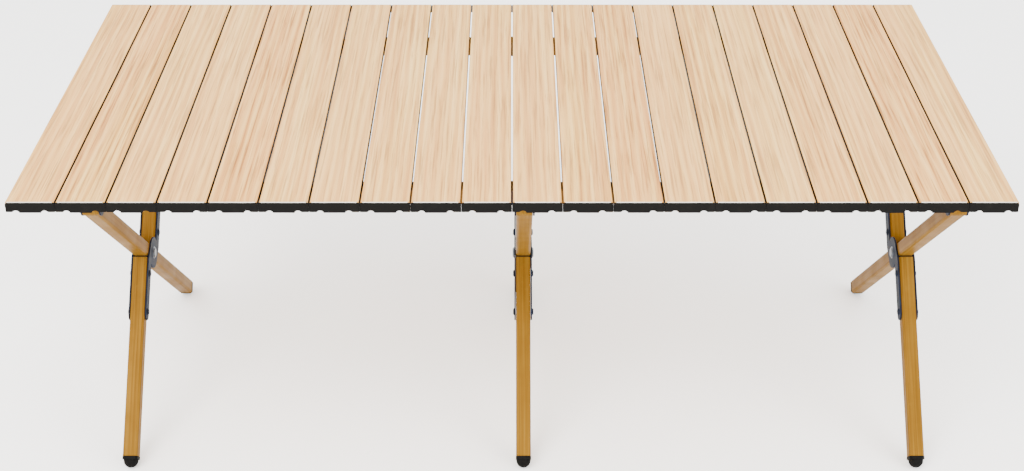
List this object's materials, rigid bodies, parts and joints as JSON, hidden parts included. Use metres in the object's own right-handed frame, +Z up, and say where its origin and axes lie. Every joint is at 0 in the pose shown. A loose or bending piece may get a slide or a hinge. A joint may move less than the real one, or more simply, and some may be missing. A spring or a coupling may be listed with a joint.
{
  "type": "portable picnic table",
  "caption": "Low portable picnic table with a roll-up top of oak-effect slats, black slat end caps and a folding frame of crossed square-tube legs on rubber feet.",
  "frame": {"origin": "on the floor, under the centre of the top's bounding box", "axes": "+X along the long side, +Y from the front edge to the rear edge, +Z up"},
  "size_m": [1.1978, 0.6, 0.45],
  "materials": {
    "oak_effect_slat": "satin wood-grain film on aluminium",
    "gold_tube": "gold-brown coated",
    "brown_rail": "brown coated",
    "black_steel": "black, slight sheen",
    "dark_pin": "dark",
    "rubber": "matt"
  },
  "bodies": {
    "bracket_rear_centre": {"bracket_rear_centre": "black_steel"},
    "leg_a_centre": {"leg_a_centre_lower_tube": "gold_tube", "leg_a_centre_upper_tube": "gold_tube", "leg_a_centre_plate_left": "black_steel", "leg_a_centre_plate_right": "black_steel", "leg_a_centre_hub_pin": "dark_pin", "leg_a_centre_foot": "rubber"},
    "leg_b_centre": {"leg_b_centre_tube": "gold_tube", "leg_b_centre_foot": "rubber"},
    "bracket_front_centre": {"bracket_front_centre": "black_steel"},
    "bracket_rear_left": {"bracket_rear_left": "black_steel"},
    "leg_a_left": {"leg_a_left_lower_tube": "gold_tube", "leg_a_left_upper_tube": "gold_tube", "leg_a_left_plate_left": "black_steel", "leg_a_left_plate_right": "black_steel", "leg_a_left_hub_pin": "dark_pin", "leg_a_left_foot": "rubber"},
    "leg_b_left": {"leg_b_left_tube": "gold_tube", "leg_b_left_foot": "rubber"},
    "bracket_front_left": {"bracket_front_left": "black_steel"},
    "bracket_rear_right": {"bracket_rear_right": "black_steel"},
    "leg_a_right": {"leg_a_right_lower_tube": "gold_tube", "leg_a_right_upper_tube": "gold_tube", "leg_a_right_plate_left": "black_steel", "leg_a_right_plate_right": "black_steel", "leg_a_right_hub_pin": "dark_pin", "leg_a_right_foot": "rubber"},
    "leg_b_right": {"leg_b_right_tube": "gold_tube", "leg_b_right_foot": "rubber"},
    "bracket_front_right": {"bracket_front_right": "black_steel"},
    "rail_rear_left_inner": {"rail_rear_left_inner": "brown_rail"},
    "rail_rear_left_outer": {"rail_rear_left_outer": "brown_rail"},
    "rail_rear_right_inner": {"rail_rear_right_inner": "brown_rail"},
    "rail_rear_right_outer": {"rail_rear_right_outer": "brown_rail"},
    "rail_front_left_inner": {"rail_front_left_inner": "brown_rail"},
    "rail_front_left_outer": {"rail_front_left_outer": "brown_rail"},
    "rail_front_right_inner": {"rail_front_right_inner": "brown_rail"},
    "rail_front_right_outer": {"rail_front_right_outer": "brown_rail"},
    "slat_01": {"slat_01": "oak_effect_slat"},
    "slat_02": {"slat_02": "oak_effect_slat"},
    "slat_03": {"slat_03": "oak_effect_slat"},
    "slat_04": {"slat_04": "oak_effect_slat"},
    "slat_05": {"slat_05": "oak_effect_slat"},
    "slat_06": {"slat_06": "oak_effect_slat"},
    "slat_07": {"slat_07": "oak_effect_slat"},
    "slat_08": {"slat_08": "oak_effect_slat"},
    "slat_09": {"slat_09": "oak_effect_slat"},
    "slat_10": {"slat_10": "oak_effect_slat"},
    "slat_11": {"slat_11": "oak_effect_slat"},
    "slat_12": {"slat_12": "oak_effect_slat"},
    "slat_13": {"slat_13": "oak_effect_slat"},
    "slat_14": {"slat_14": "oak_effect_slat"},
    "slat_15": {"slat_15": "oak_effect_slat"},
    "slat_16": {"slat_16": "oak_effect_slat"},
    "slat_17": {"slat_17": "oak_effect_slat"},
    "slat_18": {"slat_18": "oak_effect_slat"},
    "slat_19": {"slat_19": "oak_effect_slat"},
    "slat_20": {"slat_20": "oak_effect_slat"}
  },
  "joints": [
    {"name": "fold_leg_a_centre", "type": "hinge", "parent": "bracket_rear_centre", "child": "leg_a_centre", "pos_m": [0.0155, 0.2, 0.405], "axis": [1, 0, 0], "range_deg": [0, 43]},
    {"name": "fold_hub_centre", "type": "hinge", "parent": "leg_a_centre", "child": "leg_b_centre", "pos_m": [0.0155, -0.0165, 0.2075], "axis": [-1, 0, 0], "range_deg": [0, 86]},
    {"name": "fold_bracket_front_centre", "type": "hinge", "parent": "leg_b_centre", "child": "bracket_front_centre", "pos_m": [0.0155, -0.233, 0.405], "axis": [1, 0, 0], "range_deg": [0, 43]},
    {"name": "fold_leg_a_left", "type": "hinge", "parent": "bracket_rear_left", "child": "leg_a_left", "pos_m": [-0.516, 0.2, 0.405], "axis": [1, 0, 0], "range_deg": [0, 43]},
    {"name": "fold_hub_left", "type": "hinge", "parent": "leg_a_left", "child": "leg_b_left", "pos_m": [-0.516, -0.0165, 0.2075], "axis": [-1, 0, 0], "range_deg": [0, 86]},
    {"name": "fold_bracket_front_left", "type": "hinge", "parent": "leg_b_left", "child": "bracket_front_left", "pos_m": [-0.516, -0.233, 0.405], "axis": [1, 0, 0], "range_deg": [0, 43]},
    {"name": "fold_leg_a_right", "type": "hinge", "parent": "bracket_rear_right", "child": "leg_a_right", "pos_m": [0.547, 0.2, 0.405], "axis": [1, 0, 0], "range_deg": [0, 43]},
    {"name": "fold_hub_right", "type": "hinge", "parent": "leg_a_right", "child": "leg_b_right", "pos_m": [0.547, -0.0165, 0.2075], "axis": [-1, 0, 0], "range_deg": [0, 86]},
    {"name": "fold_bracket_front_right", "type": "hinge", "parent": "leg_b_right", "child": "bracket_front_right", "pos_m": [0.547, -0.233, 0.405], "axis": [1, 0, 0], "range_deg": [0, 43]},
    {"name": "fold_rail_rear_left_inner", "type": "hinge", "parent": "bracket_rear_centre", "child": "rail_rear_left_inner", "pos_m": [-0.0105, 0.2, 0.4259], "axis": [0, -1, 0], "range_deg": [0, 85]},
    {"name": "fold_rail_rear_left_middle", "type": "hinge", "parent": "rail_rear_left_inner", "child": "rail_rear_left_outer", "pos_m": [-0.25025, 0.2, 0.4327], "axis": [0, 1, 0], "range_deg": [0, 170]},
    {"name": "fold_bracket_rear_left", "type": "hinge", "parent": "rail_rear_left_outer", "child": "bracket_rear_left", "pos_m": [-0.49, 0.2, 0.4259], "axis": [0, -1, 0], "range_deg": [0, 85]},
    {"name": "fold_rail_rear_right_inner", "type": "hinge", "parent": "bracket_rear_centre", "child": "rail_rear_right_inner", "pos_m": [0.0415, 0.2, 0.4259], "axis": [0, 1, 0], "range_deg": [0, 85]},
    {"name": "fold_rail_rear_right_middle", "type": "hinge", "parent": "rail_rear_right_inner", "child": "rail_rear_right_outer", "pos_m": [0.28125, 0.2, 0.4327], "axis": [0, -1, 0], "range_deg": [0, 170]},
    {"name": "fold_bracket_rear_right", "type": "hinge", "parent": "rail_rear_right_outer", "child": "bracket_rear_right", "pos_m": [0.521, 0.2, 0.4259], "axis": [0, 1, 0], "range_deg": [0, 85]},
    {"name": "fold_rail_front_left_inner", "type": "hinge", "parent": "bracket_front_centre", "child": "rail_front_left_inner", "pos_m": [-0.0105, -0.233, 0.4259], "axis": [0, -1, 0], "range_deg": [0, 85]},
    {"name": "fold_rail_front_left_middle", "type": "hinge", "parent": "rail_front_left_inner", "child": "rail_front_left_outer", "pos_m": [-0.25025, -0.233, 0.4327], "axis": [0, 1, 0], "range_deg": [0, 170]},
    {"name": "fold_rail_front_right_inner", "type": "hinge", "parent": "bracket_front_centre", "child": "rail_front_right_inner", "pos_m": [0.0415, -0.233, 0.4259], "axis": [0, 1, 0], "range_deg": [0, 85]},
    {"name": "fold_rail_front_right_middle", "type": "hinge", "parent": "rail_front_right_inner", "child": "rail_front_right_outer", "pos_m": [0.28125, -0.233, 0.4327], "axis": [0, -1, 0], "range_deg": [0, 170]},
    {"name": "lift_top", "type": "slide", "parent": "bracket_rear_centre", "child": "slat_20", "axis": [0, 0, 1], "range_m": [0, 0.3]},
    {"name": "roll_19", "type": "hinge", "parent": "slat_20", "child": "slat_19", "pos_m": [0.54, 0, 0.45], "axis": [0, 1, 0], "range_deg": [0, 35.75]},
    {"name": "roll_18", "type": "hinge", "parent": "slat_19", "child": "slat_18", "pos_m": [0.48, 0, 0.45], "axis": [0, 1, 0], "range_deg": [0, 36.6]},
    {"name": "roll_17", "type": "hinge", "parent": "slat_18", "child": "slat_17", "pos_m": [0.42, 0, 0.45], "axis": [0, 1, 0], "range_deg": [0, 37.52]},
    {"name": "roll_16", "type": "hinge", "parent": "slat_17", "child": "slat_16", "pos_m": [0.36, 0, 0.45], "axis": [0, 1, 0], "range_deg": [0, 38.52]},
    {"name": "roll_15", "type": "hinge", "parent": "slat_16", "child": "slat_15", "pos_m": [0.3, 0, 0.45], "axis": [0, 1, 0], "range_deg": [0, 39.6]},
    {"name": "roll_14", "type": "hinge", "parent": "slat_15", "child": "slat_14", "pos_m": [0.24, 0, 0.45], "axis": [0, 1, 0], "range_deg": [0, 40.78]},
    {"name": "roll_13", "type": "hinge", "parent": "slat_14", "child": "slat_13", "pos_m": [0.18, 0, 0.45], "axis": [0, 1, 0], "range_deg": [0, 42.07]},
    {"name": "roll_12", "type": "hinge", "parent": "slat_13", "child": "slat_12", "pos_m": [0.12, 0, 0.45], "axis": [0, 1, 0], "range_deg": [0, 43.49]},
    {"name": "roll_11", "type": "hinge", "parent": "slat_12", "child": "slat_11", "pos_m": [0.06, 0, 0.45], "axis": [0, 1, 0], "range_deg": [0, 45.07]},
    {"name": "roll_10", "type": "hinge", "parent": "slat_11", "child": "slat_10", "pos_m": [0, 0, 0.45], "axis": [0, 1, 0], "range_deg": [0, 46.85]},
    {"name": "roll_09", "type": "hinge", "parent": "slat_10", "child": "slat_09", "pos_m": [-0.06, 0, 0.45], "axis": [0, 1, 0], "range_deg": [0, 48.85]},
    {"name": "roll_08", "type": "hinge", "parent": "slat_09", "child": "slat_08", "pos_m": [-0.12, 0, 0.45], "axis": [0, 1, 0], "range_deg": [0, 51.15]},
    {"name": "roll_07", "type": "hinge", "parent": "slat_08", "child": "slat_07", "pos_m": [-0.18, 0, 0.45], "axis": [0, 1, 0], "range_deg": [0, 53.81]},
    {"name": "roll_06", "type": "hinge", "parent": "slat_07", "child": "slat_06", "pos_m": [-0.24, 0, 0.45], "axis": [0, 1, 0], "range_deg": [0, 56.96]},
    {"name": "roll_05", "type": "hinge", "parent": "slat_06", "child": "slat_05", "pos_m": [-0.3, 0, 0.45], "axis": [0, 1, 0], "range_deg": [0, 60.77]},
    {"name": "roll_04", "type": "hinge", "parent": "slat_05", "child": "slat_04", "pos_m": [-0.36, 0, 0.45], "axis": [0, 1, 0], "range_deg": [0, 65.5]},
    {"name": "roll_03", "type": "hinge", "parent": "slat_04", "child": "slat_03", "pos_m": [-0.42, 0, 0.45], "axis": [0, 1, 0], "range_deg": [0, 71.64]},
    {"name": "roll_02", "type": "hinge", "parent": "slat_03", "child": "slat_02", "pos_m": [-0.48, 0, 0.45], "axis": [0, 1, 0], "range_deg": [0, 80.14]},
    {"name": "roll_01", "type": "hinge", "parent": "slat_02", "child": "slat_01", "pos_m": [-0.54, 0, 0.45], "axis": [0, 1, 0], "range_deg": [0, 93.35]}
  ],
  "couplings": [
    {"joint": "fold_hub_centre", "follows": "fold_leg_a_centre", "ratio": 2},
    {"joint": "fold_bracket_front_centre", "follows": "fold_leg_a_centre", "ratio": 1},
    {"joint": "fold_leg_a_left", "follows": "fold_leg_a_centre", "ratio": 1},
    {"joint": "fold_hub_left", "follows": "fold_leg_a_centre", "ratio": 2},
    {"joint": "fold_bracket_front_left", "follows": "fold_leg_a_centre", "ratio": 1},
    {"joint": "fold_leg_a_right", "follows": "fold_leg_a_centre", "ratio": 1},
    {"joint": "fold_hub_right", "follows": "fold_leg_a_centre", "ratio": 2},
    {"joint": "fold_bracket_front_right", "follows": "fold_leg_a_centre", "ratio": 1},
    {"joint": "fold_rail_rear_left_middle", "follows": "fold_rail_rear_left_inner", "ratio": 2},
    {"joint": "fold_bracket_rear_left", "follows": "fold_rail_rear_left_inner", "ratio": 1},
    {"joint": "fold_rail_rear_right_inner", "follows": "fold_rail_rear_left_inner", "ratio": 1},
    {"joint": "fold_rail_rear_right_middle", "follows": "fold_rail_rear_left_inner", "ratio": 2},
    {"joint": "fold_bracket_rear_right", "follows": "fold_rail_rear_left_inner", "ratio": 1},
    {"joint": "fold_rail_front_left_inner", "follows": "fold_rail_rear_left_inner", "ratio": 1},
    {"joint": "fold_rail_front_left_middle", "follows": "fold_rail_rear_left_inner", "ratio": 2},
    {"joint": "fold_rail_front_right_inner", "follows": "fold_rail_rear_left_inner", "ratio": 1},
    {"joint": "fold_rail_front_right_middle", "follows": "fold_rail_rear_left_inner", "ratio": 2},
    {"joint": "roll_19", "follows": "roll_01", "ratio": 0.38285},
    {"joint": "roll_18", "follows": "roll_01", "ratio": 0.39201},
    {"joint": "roll_17", "follows": "roll_01", "ratio": 0.40187},
    {"joint": "roll_16", "follows": "roll_01", "ratio": 0.41252},
    {"joint": "roll_15", "follows": "roll_01", "ratio": 0.42409},
    {"joint": "roll_14", "follows": "roll_01", "ratio": 0.4367},
    {"joint": "roll_13", "follows": "roll_01", "ratio": 0.45052},
    {"joint": "roll_12", "follows": "roll_01", "ratio": 0.46578},
    {"joint": "roll_11", "follows": "roll_01", "ratio": 0.48273},
    {"joint": "roll_10", "follows": "roll_01", "ratio": 0.50173},
    {"joint": "roll_09", "follows": "roll_01", "ratio": 0.52322},
    {"joint": "roll_08", "follows": "roll_01", "ratio": 0.54782},
    {"joint": "roll_07", "follows": "roll_01", "ratio": 0.57638},
    {"joint": "roll_06", "follows": "roll_01", "ratio": 0.61011},
    {"joint": "roll_05", "follows": "roll_01", "ratio": 0.65086},
    {"joint": "roll_04", "follows": "roll_01", "ratio": 0.70157},
    {"joint": "roll_03", "follows": "roll_01", "ratio": 0.76736},
    {"joint": "roll_02", "follows": "roll_01", "ratio": 0.85839}
  ]
}
